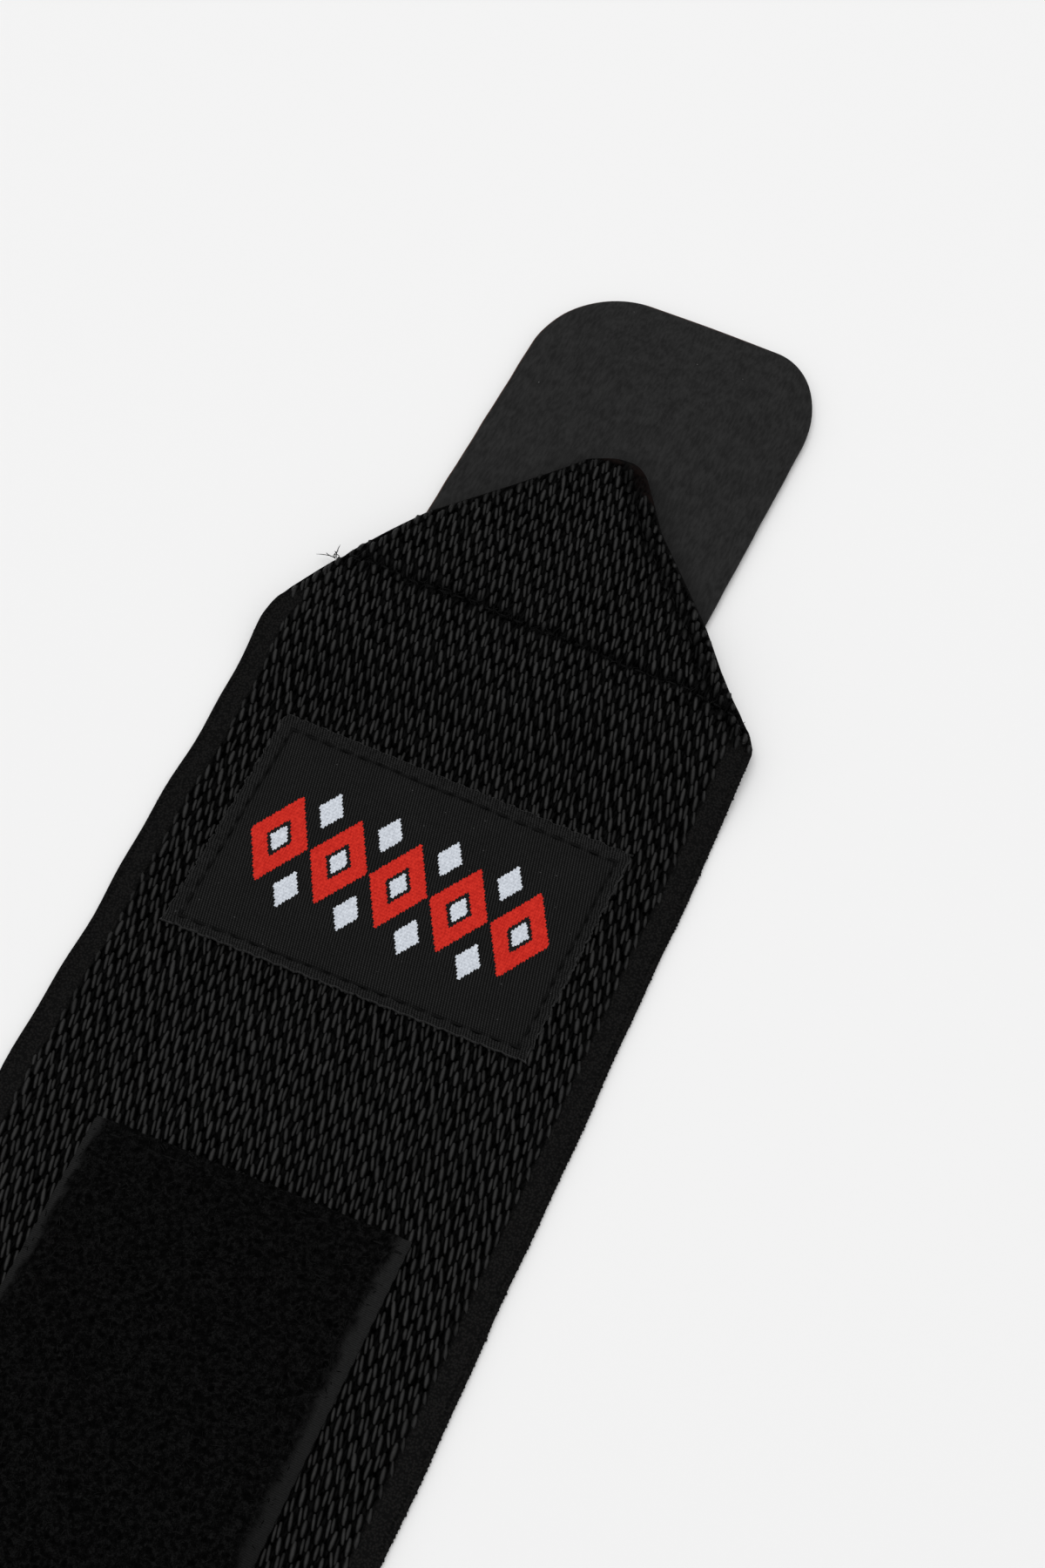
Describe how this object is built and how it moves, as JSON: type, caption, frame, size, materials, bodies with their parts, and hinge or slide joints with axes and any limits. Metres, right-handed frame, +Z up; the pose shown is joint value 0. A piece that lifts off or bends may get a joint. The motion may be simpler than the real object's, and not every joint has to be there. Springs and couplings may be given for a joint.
{
  "type": "ankle wrap",
  "caption": "Wide woven elastic band laid flat, with a pointed end, a hook tab under the point, a sewn woven label and a loop pad on its face.",
  "frame": {"origin": "middle of the footprint, on the surface that the wrap lies on", "axes": "+Y along the band towards the hook tab, +X across the band, +Z up out of the surface"},
  "size_m": [0.08, 0.6, 0.0048],
  "materials": {
    "elastic": "heavy ribbed woven elastic, near black",
    "hook_tape": "woven nylon tape with hooks on its underside, charcoal black",
    "label": "fine woven label with red and white woven figures",
    "loop_tape": "brushed loop pile on a woven tape, black"
  },
  "bodies": {
    "root": {"elastic_band": "elastic", "hook_tab": "hook_tape", "woven_label": "label", "loop_pad": "loop_tape"}
  },
  "joints": []
}
